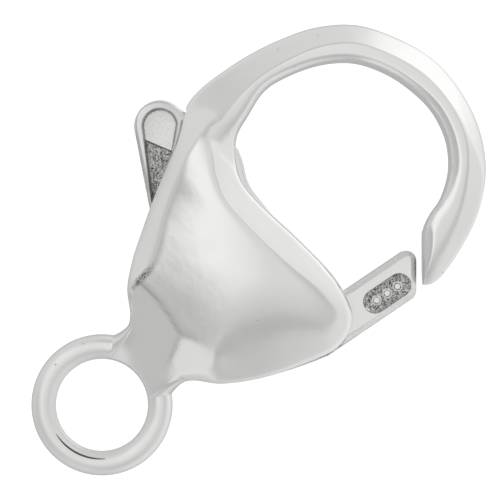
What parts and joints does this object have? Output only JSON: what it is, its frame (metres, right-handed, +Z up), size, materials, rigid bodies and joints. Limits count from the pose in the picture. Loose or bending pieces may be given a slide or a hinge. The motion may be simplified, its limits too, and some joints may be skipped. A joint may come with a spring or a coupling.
{
  "type": "lobster clasp",
  "caption": "Domed silver lobster clasp with a round ring eye, a curved hook and a sprung gate lever with a thumb tab, closed and lying on its side.",
  "frame": {"origin": "middle of the ring eye, halfway through the clasp's depth", "axes": "+X from the ring eye to the hook, +Y towards the thumb tab's side, +Z up out of the side face that the picture shows; the ring eye's hole and the pivot run along Z"},
  "size_m": [0.0159, 0.0095, 0.0042],
  "materials": {
    "body_silver": "polished sterling silver, cast, lightly worn",
    "lever_silver": "sterling silver, polished edges with faces left finely grained from the casting",
    "pin_silver": "drawn sterling silver wire",
    "spring_steel": "plain rolled steel strip"
  },
  "bodies": {
    "clasp": {"clasp_body": "body_silver", "pivot_pin": "pin_silver", "return_spring": "spring_steel"},
    "gate_lever": {"lever": "lever_silver"}
  },
  "joints": [
    {"name": "lever_pivot", "type": "hinge", "parent": "clasp", "child": "gate_lever", "pos_m": [0.0056, 0, 0], "axis": [0, 0, 1], "range_deg": [0, 26], "stiffness_Nm_per_rad": 0.006, "springref_deg": -20.05, "deforming": ["return_spring"]}
  ]
}
